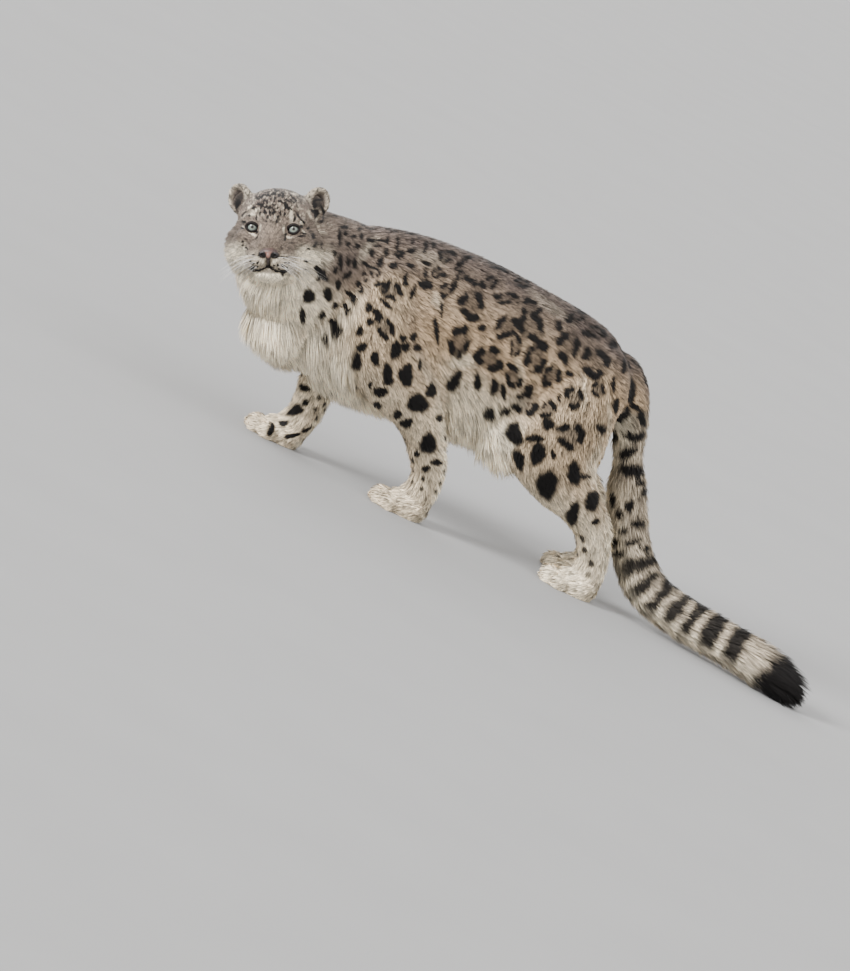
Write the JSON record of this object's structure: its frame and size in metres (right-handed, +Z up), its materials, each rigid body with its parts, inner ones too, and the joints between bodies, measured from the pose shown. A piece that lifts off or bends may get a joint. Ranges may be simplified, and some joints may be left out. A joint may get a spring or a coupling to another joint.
{
  "type": "snow leopard",
  "caption": "Life-size still model of a snow leopard standing with its head turned to look over its left side and its tail laid behind it.",
  "frame": {"origin": "middle of the model's box on the floor", "axes": "+Z up, +Y towards the tail, so the leopard faces -Y; +X is its left side, to which the head is turned"},
  "size_m": [0.4781, 1.7551, 0.6081],
  "materials": {
    "coat": "dense soft fur, cream to grey with black rosettes",
    "eye": "wet gloss, grey-green iris",
    "nose": "matt moist skin",
    "whisker": "stiff hair"
  },
  "bodies": {
    "root": {"torso": "coat", "neck": "coat", "head": "coat", "ear_left": "coat", "ear_right": "coat", "eye_left": "eye", "eye_right": "eye", "leg_front_left_upper": "coat", "leg_front_left_lower": "coat", "paw_front_left": "coat", "leg_front_right_upper": "coat", "leg_front_right_lower": "coat", "paw_front_right": "coat", "leg_hind_left_upper": "coat", "leg_hind_left_lower": "coat", "paw_hind_left": "coat", "leg_hind_right_upper": "coat", "leg_hind_right_lower": "coat", "paw_hind_right": "coat", "tail_base": "coat", "tail_upper": "coat", "tail_lower": "coat", "tail_tip": "coat"}
  },
  "joints": []
}
